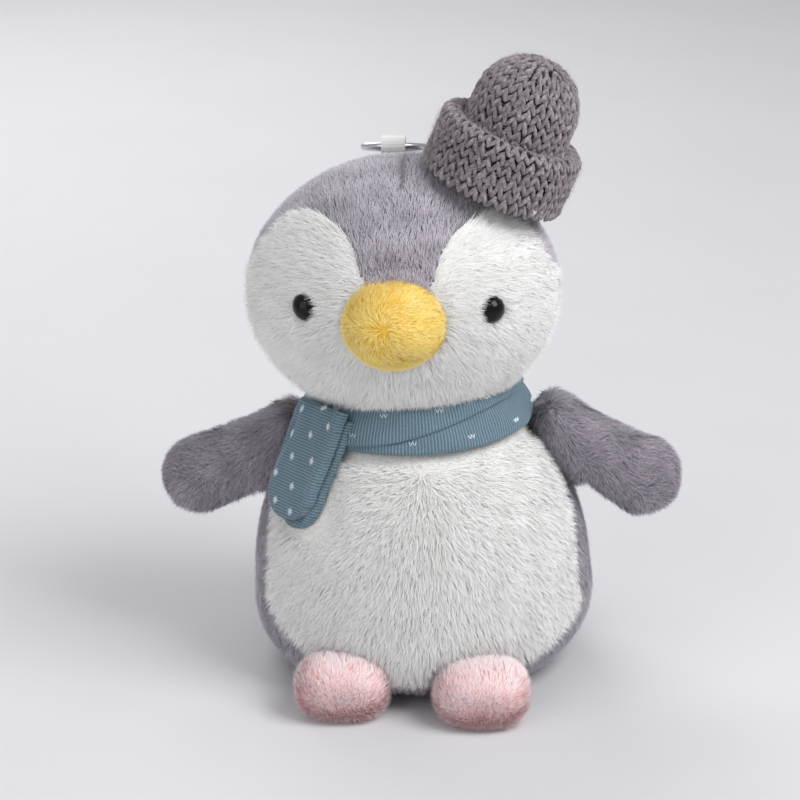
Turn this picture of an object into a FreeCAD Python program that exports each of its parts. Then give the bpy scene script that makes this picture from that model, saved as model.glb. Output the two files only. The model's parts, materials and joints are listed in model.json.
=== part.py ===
import FreeCAD, Part
import math
import os

# A small stuffed penguin with a knitted hat and a jersey scarf, about 13 cm tall.
# Millimetres. +Z up, the face looks along -Y, the penguin's right-hand side (as
# seen from the front, the left) is -X. The origin is the centre of the flat base.
# Every skin is a panel cut from one shell, so neighbouring panels meet seam to seam.

Vector = FreeCAD.Vector
UP = Vector(0, 0, 1)
FRONT_AXIS = Vector(0, 1, 0)
SIDE_AXIS = Vector(1, 0, 0)

FAR = 200.0
SKIN = 1.2

# Body: a squat stuffed bag, leaning a little to -X
LEAN = -3.0
BASE_R = 24.0
BODY_LOW = (31.6, 5.5)
BODY_WIDE = (34.5, 19.0)
BODY_HIGH = (31.0, 38.0)
BODY_TOP = (19.5, 56.0)
BASE_SEAM_Z = 4.5
BELLY_HALF_ANGLE = 66.0

# Neck: a ball of filling that joins the two stuffed bags
NECK = Vector(-3.0, 0, 58.0)
NECK_R = 9.0
NECK_GAP = 0.35

# Head: an oval as wide as the body, round in side view
HEAD = Vector(-5.9, -2.0, 83.7)
HEAD_HALF_WIDTH = 31.6
HEAD_R = 26.4
HEAD_BOTTOM_Z = 60.0
FACE_SEAM_Y = -7.5
HEAD_END_R = 21.0
PATCH_CENTRE = (14.5, -1.5)
PATCH_R = 18.5
CHIN_CENTRE_Z = -14.0
CHIN_R = 17.0
FOREHEAD_HALF_WIDTH = 9.0
FOREHEAD_BACK_Y = 9.0

# Beak: a stuffed nub in two halves
BEAK = Vector(HEAD.x, -26.5, 85.6)
BEAK_HALF_LENGTH = 11.5
BEAK_R = 8.8
BEAK_END_R = 7.0
BEAK_SEAM_Z = 1.6
BEAK_SKIN = 1.0

# Safety eyes
EYE_SPREAD = 18.7
EYE_Z = 85.2
EYE_R = 3.0
EYE_RISE = 2.2
SHANK_R = 1.2
SHANK_LENGTH = 7.0
WASHER_R = 4.2
WASHER_THICK = 1.2
WASHER_DEPTH = 3.4

# Arms: flat flippers, sewn down the flanks, that swing about their seams.
# ARM_SEAM is the middle of the left one's seam, before the body leans.
ARM_SEAM = Vector(33.2, 0, 46.8)
ARM_SEAM_TILT = 30.0
ARM_SEAM_SLIDE = {"right": 1.5, "left": 0.0}
ARM_REACH = 22.4
ARM_HALF_THICK = 4.6
ARM_TIP_THICK = 3.0
ARM_ROOT_HALF = 6.5
ARM_TIP_R = 6.8
ARM_DROOP = {"right": 15.0, "left": 29.0}

# Feet: short stuffed ovals with flat soles, in hollows of the body
FOOT_R = 5.9
FOOT_HALF_WIDTH = 8.6
FOOT_STRETCH = {"right": 0.8, "left": 2.4}
FOOT_PLACE = {"right": Vector(-17.0, -33.0, FOOT_R), "left": Vector(11.6, -34.0, FOOT_R)}
FOOT_TURN = {"right": -8.0, "left": 8.0}
SOLE_THICK = 1.2

# Scarf: a strip of jersey, twice round the neck seam, with two short ends
BAND_R = 21.6
BAND_Z = 56.0
BAND_HALF_THICK = 1.8
BAND_HALF_FLAT = 2.6
BAND_TILT = 28.0
TAIL_BEARING = 46.0
TAIL_WIDTH = 15.5
TAIL_LENGTH = 26.0
TAIL_THICK = 1.8
TAIL_TOP = (26.0, 62.5)
TAIL_SLOPE = 20.0
TAIL_BEHIND = (2.3, 1.5, -1.5)

# Hat: a knitted dome with a turned-up cuff, tacked on one side of the crown
HAT = Vector(12.7, -4.0, 103.8)
HAT_TILT = 23.0
CUFF_R = 15.6
CUFF_INNER_R = 11.2
CUFF_HEIGHT = 12.3
CUFF_ROUND = 2.0
CROWN_R = 10.9
CROWN_WALL = 1.8
CROWN_STRAIGHT = 17.6

# Hanging loop: a folded ribbon in the back seam of the crown, with a wire ring
RIBBON_WIDTH = 5.0
RIBBON_THICK = 0.7
RIBBON_EYE_R = 1.6
RIBBON = Vector(-8.5, 10.0, 109.6)
RIBBON_DEPTH = 5.0
RING_R = 6.5
RING_WIRE_R = 0.75
RING_SLOPE = -18.0

CLEAR = 0.5
SIDES = {"right": -1, "left": 1}


def clear_of(shape, others):
    """The shape with each of the other solids taken out of it."""
    for other in others:
        shape = shape.cut(other)
    return shape


def turned(shape, centre, axis, degrees):
    """A copy of the shape, turned about a line."""
    copy = shape.copy()
    copy.rotate(centre, axis, degrees)
    return copy


def moved(shape, offset):
    """A copy of the shape, moved."""
    copy = shape.copy()
    copy.translate(offset)
    return copy


def slab(low, high):
    """A box from one corner to the other."""
    size = high - low
    return Part.makeBox(size.x, size.y, size.z, low)


def spun(edges, axis):
    """A solid of revolution from a closed chain of edges, about a line through 0."""
    face = Part.Face(Part.Wire(edges))
    return face.revolve(Vector(0, 0, 0), axis, 360)


def line(start, end):
    """One straight edge."""
    return Part.makeLine(start, end)


def arc(start, middle, end):
    """One arc through three points."""
    return Part.Arc(start, middle, end).toShape()


def extruded(edges, way):
    """A prism from a closed chain of edges."""
    return Part.Face(Part.Wire(edges)).extrude(way)


def oval(half_length, radius, end_radius, axis):
    """A ball drawn out along an axis: round ends and a flatter middle, tangent to them."""
    end_centre = half_length - end_radius
    rise = radius - end_radius
    back = (end_centre**2 - rise**2) / (2 * rise)
    flat_radius = back + radius
    share = end_radius / (flat_radius - end_radius)
    joint = Vector(end_centre * (1 + share), back * share, 0)
    low_end = Vector(-half_length, 0, 0)
    high_end = Vector(half_length, 0, 0)
    half_turn = math.atan2(joint.y, joint.x - end_centre) / 2
    mid_x = end_centre + end_radius * math.cos(half_turn)
    mid_y = end_radius * math.sin(half_turn)
    edges = [
        arc(low_end, Vector(-mid_x, mid_y, 0), Vector(-joint.x, joint.y, 0)),
        arc(Vector(-joint.x, joint.y, 0), Vector(0, radius, 0), joint),
        arc(joint, Vector(mid_x, mid_y, 0), high_end),
        line(high_end, low_end),
    ]
    solid = spun(edges, SIDE_AXIS)
    if axis is FRONT_AXIS:
        solid = turned(solid, Vector(0, 0, 0), UP, 90)
    return solid


def body_solid(grow):
    """The body bag, grown or shrunk by a skin's thickness, leaning and flat below."""
    def point(radius_and_z, lift=0.0):
        return Vector(radius_and_z[0] + grow, 0, radius_and_z[1] + lift)

    below = -3.0
    foot = Vector(BASE_R + grow - 3.0, 0, below)
    start = point((BASE_R, 0))
    top = point(BODY_TOP, grow)
    edges = [
        line(Vector(0, 0, below), foot),
        line(foot, start),
        arc(start, point(BODY_LOW), point(BODY_WIDE)),
        arc(point(BODY_WIDE), point(BODY_HIGH), top),
        line(top, Vector(0, 0, top.z)),
        line(Vector(0, 0, top.z), Vector(0, 0, below)),
    ]
    leaning = turned(spun(edges, UP), Vector(0, 0, 0), FRONT_AXIS, LEAN)
    floor = slab(Vector(-FAR, -FAR, -FAR), Vector(FAR, FAR, -grow))
    return leaning.cut(floor)


def belly_wedge():
    """The front of the body, between the two side seams."""
    reach = FAR / 2
    side = reach * math.tan(math.radians(BELLY_HALF_ANGLE))
    corners = [
        Vector(0, 0, -FAR / 4),
        Vector(-side, -reach, -FAR / 4),
        Vector(side, -reach, -FAR / 4),
    ]
    face = Part.Face(Part.makePolygon(corners + corners[:1]))
    wedge = face.extrude(Vector(0, 0, FAR))
    return turned(wedge, Vector(0, 0, 0), FRONT_AXIS, LEAN)


def half_space(side, x, tilt):
    """Everything on one side of a nearly upright plane across X."""
    low = Vector(-FAR, -FAR, -FAR)
    high = Vector(0, FAR, FAR)
    box = slab(low, high) if side < 0 else slab(Vector(0, -FAR, -FAR), Vector(FAR, FAR, FAR))
    return moved(turned(box, Vector(0, 0, 0), FRONT_AXIS, tilt), Vector(x, 0, 0))


def make_body(neck_room):
    """Two back panels, two belly panels, the base and the filling."""
    rooms = [neck_room] + [foot_room(name) for name in SIDES]
    inner = clear_of(body_solid(-SKIN), rooms)
    shell = clear_of(body_solid(0), [body_solid(-SKIN)] + rooms)
    below_seam = slab(Vector(-FAR, -FAR, -FAR), Vector(FAR, FAR, BASE_SEAM_Z))
    nodes = {"base_panel": shell.common(below_seam)}
    upper = shell.cut(below_seam)
    wedge = belly_wedge()
    belly = upper.common(wedge)
    back = upper.cut(wedge)
    for name, side in SIDES.items():
        half = half_space(side, 0, LEAN)
        nodes["belly_" + name] = belly.common(half)
        nodes["body_back_" + name] = back.common(half)
    nodes["body_filling"] = inner
    return nodes


def head_solid(grow):
    """The head bag: an oval along X, flat where it meets the neck."""
    ball = oval(HEAD_HALF_WIDTH + grow, HEAD_R + grow, HEAD_END_R + grow, SIDE_AXIS)
    under = slab(Vector(-FAR, -FAR, -FAR), Vector(FAR, FAR, HEAD_BOTTOM_Z - grow))
    return moved(ball, HEAD).cut(under)


def front_disc(x, z, radius):
    """A round patch on the front of the face, run back to the face seam."""
    start = HEAD + Vector(x, FACE_SEAM_Y, z)
    return Part.makeCylinder(radius, FAR, start, -FRONT_AXIS)


def face_region():
    """The white part of the face: a patch round each eye and the chin."""
    patches = [
        front_disc(side * PATCH_CENTRE[0], PATCH_CENTRE[1], PATCH_R) for side in (-1, 1)
    ]
    chin = front_disc(0, CHIN_CENTRE_Z, CHIN_R)
    return patches[0].fuse(patches[1]).fuse(chin)


def eye_direction(side):
    """The way an eye looks: square to the head's oval at the eye."""
    across = side * EYE_SPREAD
    up = EYE_Z - HEAD.z
    share = 1 - (across / HEAD_HALF_WIDTH) ** 2 - (up / HEAD_R) ** 2
    ahead = -HEAD_R * math.sqrt(share)
    normal = Vector(across / HEAD_HALF_WIDTH**2, ahead / HEAD_R**2, up / HEAD_R**2)
    return HEAD + Vector(across, ahead, up), normal.normalize()


def make_eye(side):
    """A glossy dome with its shank, and the washer that locks it behind the skin."""
    place, way = eye_direction(side)
    dome_r = (EYE_R**2 + EYE_RISE**2) / (2 * EYE_RISE)
    ball = Part.makeSphere(dome_r, Vector(0, 0, EYE_RISE - dome_r))
    dome = ball.common(slab(Vector(-FAR, -FAR, 0), Vector(FAR, FAR, FAR)))
    shank = Part.makeCylinder(SHANK_R, SHANK_LENGTH, Vector(0, 0, -SHANK_LENGTH))
    washer = Part.makeCylinder(WASHER_R, WASHER_THICK, Vector(0, 0, -WASHER_DEPTH))
    spin = FreeCAD.Rotation(UP, way)
    placement = FreeCAD.Placement(place + way * 0.1, spin)
    pieces = []
    for piece in (dome.fuse(shank), washer.cut(shank)):
        piece.Placement = placement.multiply(piece.Placement)
        pieces.append(piece)
    return pieces


def make_head(neck_room):
    """The skin panels, the filling and the eyes."""
    outer = head_solid(0)
    inner = head_solid(-SKIN)
    shell = outer.cut(inner).cut(neck_room)
    filling = inner.cut(neck_room)
    nodes = {}
    for name, side in SIDES.items():
        eye, washer = make_eye(side)
        shell = shell.cut(eye)
        shell = shell.cut(washer)
        filling = filling.cut(eye)
        filling = filling.cut(washer)
        nodes["eye_" + name] = eye
        nodes["eye_washer_" + name] = washer
    region = face_region()
    face = shell.common(region)
    rest = shell.cut(region)
    strip = slab(
        Vector(HEAD.x - FOREHEAD_HALF_WIDTH, -FAR, HEAD.z),
        Vector(HEAD.x + FOREHEAD_HALF_WIDTH, HEAD.y + FOREHEAD_BACK_Y, FAR),
    )
    nodes["forehead_panel"] = rest.common(strip)
    rest = rest.cut(strip)
    for name, side in SIDES.items():
        half = half_space(side, HEAD.x, 0)
        nodes["face_" + name] = face.common(half)
        nodes["head_back_" + name] = rest.common(half)
    nodes["head_filling"] = filling
    return nodes


def make_beak():
    """The upper and lower halves of the beak and its filling."""
    head = head_solid(0)
    outer = oval(BEAK_HALF_LENGTH, BEAK_R, BEAK_END_R, FRONT_AXIS)
    core = [size - BEAK_SKIN for size in (BEAK_HALF_LENGTH, BEAK_R, BEAK_END_R)]
    inner = moved(oval(*core, FRONT_AXIS), BEAK).cut(head)
    outer = moved(outer, BEAK).cut(head)
    shell = outer.cut(inner)
    above = slab(Vector(-FAR, -FAR, BEAK.z + BEAK_SEAM_Z), Vector(FAR, FAR, FAR))
    return {
        "beak_upper": shell.common(above),
        "beak_lower": shell.cut(above),
        "beak_filling": inner,
    }


def arm_seam(name):
    """The middle of an arm's seam, before the body leans."""
    tilt = math.radians(ARM_SEAM_TILT)
    up_flank = Vector(-math.sin(tilt), 0, math.cos(tilt))
    place = ARM_SEAM + up_flank * ARM_SEAM_SLIDE[name]
    return Vector(SIDES[name] * place.x, 0, place.z)


def arm_outline(grow, droop):
    """The flipper from the front: a seam down the body, and a round drooping tip."""
    tilt = math.radians(ARM_SEAM_TILT)
    along = Vector(math.sin(tilt), 0, -math.cos(tilt))
    half = ARM_ROOT_HALF + grow
    low = along * half
    high = along * -half
    slope = math.radians(droop)
    ahead = Vector(math.cos(slope), 0, -math.sin(slope))
    across = Vector(math.sin(slope), 0, math.cos(slope))
    tip_r = ARM_TIP_R + grow
    tip = ahead * (ARM_REACH - ARM_TIP_R)
    root = ARM_HALF_THICK + grow
    heel = Vector(-math.cos(tilt), 0, -math.sin(tilt)) * root
    return [
        line(low + heel, low),
        line(low, tip - across * tip_r),
        arc(tip - across * tip_r, tip + ahead * tip_r, tip + across * tip_r),
        line(tip + across * tip_r, high),
        line(high, high + heel),
        line(high + heel, low + heel),
    ]


def arm_section(grow, droop):
    """The flipper from its tip's side: a round heel on the seam, thinner at the tip."""
    root = ARM_HALF_THICK + grow
    tip = ARM_TIP_THICK + grow
    far = ARM_REACH * math.cos(math.radians(ARM_SEAM_TILT - droop)) - ARM_TIP_THICK
    return [
        arc(Vector(0, root, 0), Vector(-root, 0, 0), Vector(0, -root, 0)),
        line(Vector(0, -root, 0), Vector(far, -tip, 0)),
        arc(Vector(far, -tip, 0), Vector(far + tip, 0, 0), Vector(far, tip, 0)),
        line(Vector(far, tip, 0), Vector(0, root, 0)),
    ]


def arm_solid(grow, name):
    """One flipper, swung out sideways from its seam."""
    droop = ARM_DROOP[name]
    outline = extruded(arm_outline(grow, droop), Vector(0, FAR, 0))
    outline = moved(outline, Vector(0, -FAR / 2, 0))
    section = extruded(arm_section(grow, droop), Vector(0, 0, FAR))
    section = moved(section, Vector(0, 0, -FAR / 2))
    section = turned(section, Vector(0, 0, 0), FRONT_AXIS, -ARM_SEAM_TILT)
    arm = outline.common(section)
    if SIDES[name] < 0:
        arm = arm.mirror(Vector(0, 0, 0), SIDE_AXIS)
    return turned(moved(arm, arm_seam(name)), Vector(0, 0, 0), FRONT_AXIS, LEAN)


def make_arm(name):
    """Front panel, back panel and filling of one arm."""
    outer = arm_solid(0, name)
    inner = arm_solid(-SKIN, name)
    shell = outer.cut(inner)
    ahead = slab(Vector(-FAR, -FAR, -FAR), Vector(FAR, 0, FAR))
    return {
        "arm_front_" + name: shell.common(ahead),
        "arm_back_" + name: shell.cut(ahead),
        "arm_filling_" + name: inner,
    }


def foot_solid(grow, name):
    """One foot: a short roll with a round plan, about the line it bends on."""
    radius = FOOT_R + grow
    stretch = FOOT_STRETCH[name]
    edges = [
        arc(Vector(0, 0, -radius), Vector(0, radius, 0), Vector(0, 0, radius)),
        line(Vector(0, 0, radius), Vector(0, -stretch, radius)),
        arc(Vector(0, -stretch, radius), Vector(0, -stretch - radius, 0), Vector(0, -stretch, -radius)),
        line(Vector(0, -stretch, -radius), Vector(0, 0, -radius)),
    ]
    half = FOOT_HALF_WIDTH + grow
    roll = moved(extruded(edges, Vector(FAR, 0, 0)), Vector(-FAR / 2, 0, 0))
    plan = Part.makeCylinder(half, FAR, Vector(0, -stretch / 2, -FAR / 2))
    foot = turned(roll.common(plan), Vector(0, 0, 0), UP, FOOT_TURN[name])
    return moved(foot, FOOT_PLACE[name])


def foot_room(name):
    """The hollow in the body that a foot bends in."""
    half = FOOT_HALF_WIDTH + CLEAR
    roll = Part.makeCylinder(FOOT_R + CLEAR, half * 2, Vector(-half, 0, 0), SIDE_AXIS)
    return moved(turned(roll, Vector(0, 0, 0), UP, FOOT_TURN[name]), FOOT_PLACE[name])


def make_foot(name):
    """Top panel, sole and filling of one foot."""
    outer = foot_solid(0, name)
    inner = foot_solid(-SKIN, name)
    sole_room = slab(Vector(-FAR, -FAR, -FAR), Vector(FAR, FAR, SOLE_THICK))
    return {
        "foot_sole_" + name: outer.common(sole_room),
        "foot_top_" + name: outer.cut(inner).cut(sole_room),
        "foot_filling_" + name: inner.cut(sole_room),
    }


def make_scarf():
    """The wound band and its two ends."""
    flat = BAND_HALF_FLAT
    thick = BAND_HALF_THICK
    edges = [
        line(Vector(thick, 0, -flat), Vector(thick, 0, flat)),
        arc(Vector(thick, 0, flat), Vector(0, 0, flat + thick), Vector(-thick, 0, flat)),
        line(Vector(-thick, 0, flat), Vector(-thick, 0, -flat)),
        arc(Vector(-thick, 0, -flat), Vector(0, 0, -flat - thick), Vector(thick, 0, -flat)),
    ]
    face = turned(Part.Face(Part.Wire(edges)), Vector(0, 0, 0), FRONT_AXIS, -BAND_TILT)
    band = moved(face, Vector(BAND_R, 0, BAND_Z)).revolve(Vector(0, 0, 0), UP, 360)
    band = turned(band, Vector(0, 0, 0), FRONT_AXIS, LEAN)
    nodes = {"scarf_band": band.cut(body_solid(0.1))}
    for name, layer in (("front", 0), ("back", 1)):
        nodes["scarf_end_" + name] = make_tail(layer)
    return nodes


def make_tail(layer):
    """One end of the scarf: a flat tongue with a round tip, lying down the body."""
    half = TAIL_WIDTH / 2
    low = half - TAIL_LENGTH
    edges = [
        line(Vector(-half, 0, 0), Vector(half, 0, 0)),
        line(Vector(half, 0, 0), Vector(half, 0, low)),
        arc(Vector(half, 0, low), Vector(0, 0, low - half), Vector(-half, 0, low)),
        line(Vector(-half, 0, low), Vector(-half, 0, 0)),
    ]
    tongue = Part.Face(Part.Wire(edges)).extrude(Vector(0, TAIL_THICK, 0))
    inward, across, drop = [layer * step for step in TAIL_BEHIND]
    tongue = moved(tongue, Vector(across, inward, drop))
    tongue = turned(tongue, Vector(0, 0, 0), SIDE_AXIS, -TAIL_SLOPE)
    tongue = moved(tongue, Vector(0, -TAIL_TOP[0], TAIL_TOP[1]))
    tongue = turned(tongue, Vector(0, 0, 0), UP, -TAIL_BEARING)
    return moved(tongue, Vector(NECK.x, 0, 0))


def make_hat():
    """The cuff, the dome and the filling that keeps the dome round."""
    rim = CUFF_HEIGHT
    soft = CUFF_ROUND
    mid = (CUFF_R + CUFF_INNER_R) / 2
    edges = [
        line(Vector(CUFF_R, 0, soft), Vector(CUFF_R, 0, rim - soft)),
        arc(Vector(CUFF_R, 0, rim - soft), Vector(mid, 0, rim), Vector(CUFF_INNER_R, 0, rim - soft)),
        line(Vector(CUFF_INNER_R, 0, rim - soft), Vector(CUFF_INNER_R, 0, soft)),
        arc(Vector(CUFF_INNER_R, 0, soft), Vector(mid, 0, 0), Vector(CUFF_R, 0, soft)),
    ]
    cuff = spun(edges, UP)
    outer = dome(CROWN_R)
    inner = dome(CROWN_R - CROWN_WALL)
    head = head_solid(CLEAR)
    nodes = {"hat_cuff": cuff, "hat_dome": outer.cut(inner), "hat_filling": inner}
    for name, piece in nodes.items():
        piece = turned(piece, Vector(0, 0, 0), FRONT_AXIS, HAT_TILT)
        nodes[name] = moved(piece, HAT).cut(head)
    return nodes


def dome(radius):
    """A short post with a round top."""
    post = Part.makeCylinder(radius, CROWN_STRAIGHT)
    return post.fuse(Part.makeSphere(radius, Vector(0, 0, CROWN_STRAIGHT))).removeSplitter()


def make_hanger():
    """A folded ribbon standing out of the crown seam and the ring through its eye."""
    outer_r = RIBBON_EYE_R + RIBBON_THICK
    start = RIBBON - SIDE_AXIS * (RIBBON_WIDTH / 2)
    barrel = Part.makeCylinder(outer_r, RIBBON_WIDTH, start, SIDE_AXIS)
    leg = slab(
        start + Vector(0, -outer_r * 0.55, -RIBBON_DEPTH),
        start + Vector(RIBBON_WIDTH, outer_r * 0.55, 0),
    )
    eye = Part.makeCylinder(RIBBON_EYE_R, RIBBON_WIDTH, start, SIDE_AXIS)
    ribbon = barrel.fuse(leg).cut(eye).cut(head_solid(0.05))
    ring = Part.makeTorus(RING_R, RING_WIRE_R)
    ring = moved(ring, Vector(0, RING_R, 0))
    ring = turned(ring, Vector(0, 0, 0), SIDE_AXIS, RING_SLOPE)
    return {"hang_ribbon": ribbon, "hang_ring": moved(ring, RIBBON)}


def build():
    """Every node of the penguin, by name."""
    neck_room = Part.makeSphere(NECK_R + NECK_GAP, NECK)
    nodes = {}
    nodes.update(make_body(neck_room))
    nodes["neck_filling"] = Part.makeSphere(NECK_R, NECK)
    nodes.update(make_head(neck_room))
    nodes.update(make_beak())
    for name in SIDES:
        nodes.update(make_arm(name))
        nodes.update(make_foot(name))
    nodes.update(make_scarf())
    nodes.update(make_hat())
    nodes.update(make_hanger())
    return nodes


os.makedirs("parts", exist_ok=True)
for node_name, node_shape in build().items():
    box = node_shape.BoundBox
    print(
        node_name, "valid" if node_shape.isValid() else "NOT VALID", len(node_shape.Solids),
        "solids", round(node_shape.Volume, 1), "mm3",
        [round(v, 1) for v in (box.XMin, box.XMax, box.YMin, box.YMax, box.ZMin, box.ZMax)],
    )
    node_shape.exportStep("parts/" + node_name + ".step")
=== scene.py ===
import json
import math

import bpy
import numpy as np
from mathutils import Matrix, Vector
from mathutils.bvhtree import BVHTree

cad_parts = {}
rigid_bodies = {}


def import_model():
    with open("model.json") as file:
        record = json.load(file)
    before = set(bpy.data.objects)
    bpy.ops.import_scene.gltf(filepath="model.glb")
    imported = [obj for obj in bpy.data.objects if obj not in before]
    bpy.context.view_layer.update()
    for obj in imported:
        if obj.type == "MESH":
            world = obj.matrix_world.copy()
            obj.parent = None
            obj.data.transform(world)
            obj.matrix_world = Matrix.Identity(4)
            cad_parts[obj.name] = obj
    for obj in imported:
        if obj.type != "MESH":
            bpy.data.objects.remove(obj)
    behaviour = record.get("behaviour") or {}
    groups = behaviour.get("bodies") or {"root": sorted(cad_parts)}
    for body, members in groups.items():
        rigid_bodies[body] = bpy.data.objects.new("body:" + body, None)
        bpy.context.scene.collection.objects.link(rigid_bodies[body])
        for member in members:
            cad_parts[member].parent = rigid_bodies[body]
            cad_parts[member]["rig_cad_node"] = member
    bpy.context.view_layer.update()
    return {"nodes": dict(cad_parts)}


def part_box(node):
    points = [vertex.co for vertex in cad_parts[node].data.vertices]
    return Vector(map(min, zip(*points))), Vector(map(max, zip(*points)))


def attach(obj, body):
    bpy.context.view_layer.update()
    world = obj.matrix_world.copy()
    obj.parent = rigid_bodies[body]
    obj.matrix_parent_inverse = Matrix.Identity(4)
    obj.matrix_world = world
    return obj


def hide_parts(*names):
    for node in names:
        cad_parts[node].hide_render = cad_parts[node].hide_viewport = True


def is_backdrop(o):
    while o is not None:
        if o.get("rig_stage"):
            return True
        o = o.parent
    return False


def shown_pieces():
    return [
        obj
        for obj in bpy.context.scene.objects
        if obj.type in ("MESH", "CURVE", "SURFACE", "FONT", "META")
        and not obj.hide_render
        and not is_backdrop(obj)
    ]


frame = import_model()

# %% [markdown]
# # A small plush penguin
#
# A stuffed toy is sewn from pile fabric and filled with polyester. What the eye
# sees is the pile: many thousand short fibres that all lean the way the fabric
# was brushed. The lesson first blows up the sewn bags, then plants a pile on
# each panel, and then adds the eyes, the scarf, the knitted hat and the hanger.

MM = 0.001
NODES = frame["nodes"]


# %% [markdown]
# ## Small tools
#
# Blender's operators work on what is selected, so every step first selects the
# one object that it means. Sizes in this lesson are in millimetres, and a mesh
# is turned into metres when it is made.

# %% Selecting and measuring
def only(obj):
    """Makes obj the one selected and active object."""
    bpy.ops.object.select_all(action="DESELECT")
    obj.select_set(True)
    bpy.context.view_layer.objects.active = obj


def middle(node):
    """The middle of a CAD node's box, in millimetres."""
    low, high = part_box(node)
    return np.array((low + high) / 2) / MM


def unit(vectors):
    """Each row at length 1."""
    size = np.linalg.norm(vectors, axis=-1, keepdims=True)
    return vectors / np.maximum(size, 1e-9)


def tree_of(node):
    """A search tree over a CAD node's surface, in millimetres."""
    mesh = NODES[node].data
    corners = [v.co / MM for v in mesh.vertices]
    return BVHTree.FromPolygons(corners, [tuple(p.vertices) for p in mesh.polygons])


def distances(tree, points):
    """How far each point is from the surface in a search tree."""
    return np.array([tree.find_nearest(Vector(p))[3] for p in points])


def new_mesh(name, points, faces, finishes, picks=None):
    """A mesh object from points in millimetres and faces."""
    mesh = bpy.data.meshes.new(name)
    mesh.from_pydata([tuple(p) for p in np.asarray(points) * MM], [], faces)
    for finish in finishes:
        mesh.materials.append(finish)
    if picks is not None:
        mesh.polygons.foreach_set("material_index", np.asarray(picks, np.int32))
    mesh.shade_smooth()
    mesh.update()
    obj = bpy.data.objects.new(name, mesh)
    bpy.context.scene.collection.objects.link(obj)
    return obj


# %% [markdown]
# ## Shader tools
#
# A material is a small network of nodes. A wrapped socket takes part in sums, so
# that a pattern reads as a line of arithmetic, and one method adds any node.

# %% Wires and finishes
class Wire:
    """A node's output that can be used in sums."""

    def __init__(self, finish, socket):
        self.finish = finish
        self.socket = socket

    def maths(self, operation, *values):
        settings = {"operation": operation}
        inputs = dict(enumerate(values))
        return self.finish.node("ShaderNodeMath", settings, inputs)

    def __add__(self, other):
        return self.maths("ADD", self, other)

    def __mul__(self, other):
        return self.maths("MULTIPLY", self, other)

    def sine(self):
        return self.maths("SINE", self)


class Finish:
    """A material with one Principled shader, and a way to add nodes to it."""

    def __init__(self, name, colour, roughness, **constants):
        self.material = bpy.data.materials.new(name)
        self.material.use_nodes = True
        self.tree = self.material.node_tree
        self.shader = self.tree.nodes["Principled BSDF"]
        self.shader.inputs["Base Color"].default_value = (*colour, 1)
        self.shader.inputs["Roughness"].default_value = roughness
        for socket, value in constants.items():
            self.shader.inputs[socket.replace("_", " ")].default_value = value

    def node(self, kind, settings=None, inputs=None, out=0):
        made = self.tree.nodes.new(kind)
        for key, value in (settings or {}).items():
            if key == "stops":
                self.set_stops(made.color_ramp, value)
            else:
                setattr(made, key, value)
        for key, value in (inputs or {}).items():
            if isinstance(value, Wire):
                self.tree.links.new(value.socket, made.inputs[key])
            else:
                made.inputs[key].default_value = value
        return Wire(self, made.outputs[out])

    def set_stops(self, ramp, stops):
        while len(ramp.elements) < len(stops):
            ramp.elements.new(0.5)
        for element, (place, colour) in zip(ramp.elements, stops):
            element.position = place
            element.color = (*colour, 1)

    def feed(self, socket, wire):
        self.tree.links.new(wire.socket, self.shader.inputs[socket])

    def place(self, source="Object"):
        """Object coordinates or the UV map, in millimetres."""
        output = {"UV": 2, "Object": 3}[source]
        coords = self.node("ShaderNodeTexCoord", out=output)
        settings = {"operation": "SCALE"}
        scale = 1000.0 if source == "Object" else 1.0
        return self.node("ShaderNodeVectorMath", settings, {0: coords, "Scale": scale})

    def noise(self, vector, scale, detail=2.0):
        inputs = {"Vector": vector, "Scale": scale, "Detail": detail}
        return self.node("ShaderNodeTexNoise", None, inputs)

    def ramp(self, value, stops):
        return self.node("ShaderNodeValToRGB", {"stops": stops}, {0: value})

    def relief(self, height, distance, strength=1.0):
        inputs = {"Height": height, "Distance": distance * MM, "Strength": strength}
        self.feed("Normal", self.node("ShaderNodeBump", None, inputs))


def card(red, green, blue):
    """A colour from a paint card, 0 to 255, as Blender's linear numbers."""
    parts = [v / 255 for v in (red, green, blue)]
    return tuple(v / 12.92 if v <= 0.04045 else ((v + 0.055) / 1.055) ** 2.4 for v in parts)


# %% [markdown]
# ## Floor, light and camera
#
# The toy stands on a plain pale floor under large soft lamps, as on a product
# table. A long lens from well above the horizon keeps the proportions true.

# %% Floor
PALE, PALE_SHADE = card(208, 208, 211), card(206, 206, 209)
FLOOR_RADIUS = 6
floor_finish = Finish("pale_floor", PALE, 0.7)
grain = floor_finish.noise(floor_finish.place(), 0.02)
floor_finish.feed("Base Color", floor_finish.ramp(grain, [(0.3, PALE_SHADE), (0.7, PALE)]))
bpy.ops.object.select_all(action="DESELECT")
bpy.ops.mesh.primitive_circle_add(vertices=64, radius=FLOOR_RADIUS, fill_type="NGON", location=(0, 0, 0))
floor = bpy.context.active_object
floor.name = "floor"
floor.data.materials.append(floor_finish.material)
floor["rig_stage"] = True

# %% Lamps
def lamp(name, place, aim, size, watts):
    """A square soft lamp that looks at a point; places in millimetres."""
    data = bpy.data.lights.new(name, "AREA")
    data.size = size * MM
    data.energy = watts
    obj = bpy.data.objects.new(name, data)
    bpy.context.scene.collection.objects.link(obj)
    obj.location = Vector(place) * MM
    obj.rotation_euler = (Vector(aim) - Vector(place)).to_track_quat("-Z", "Y").to_euler()


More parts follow.
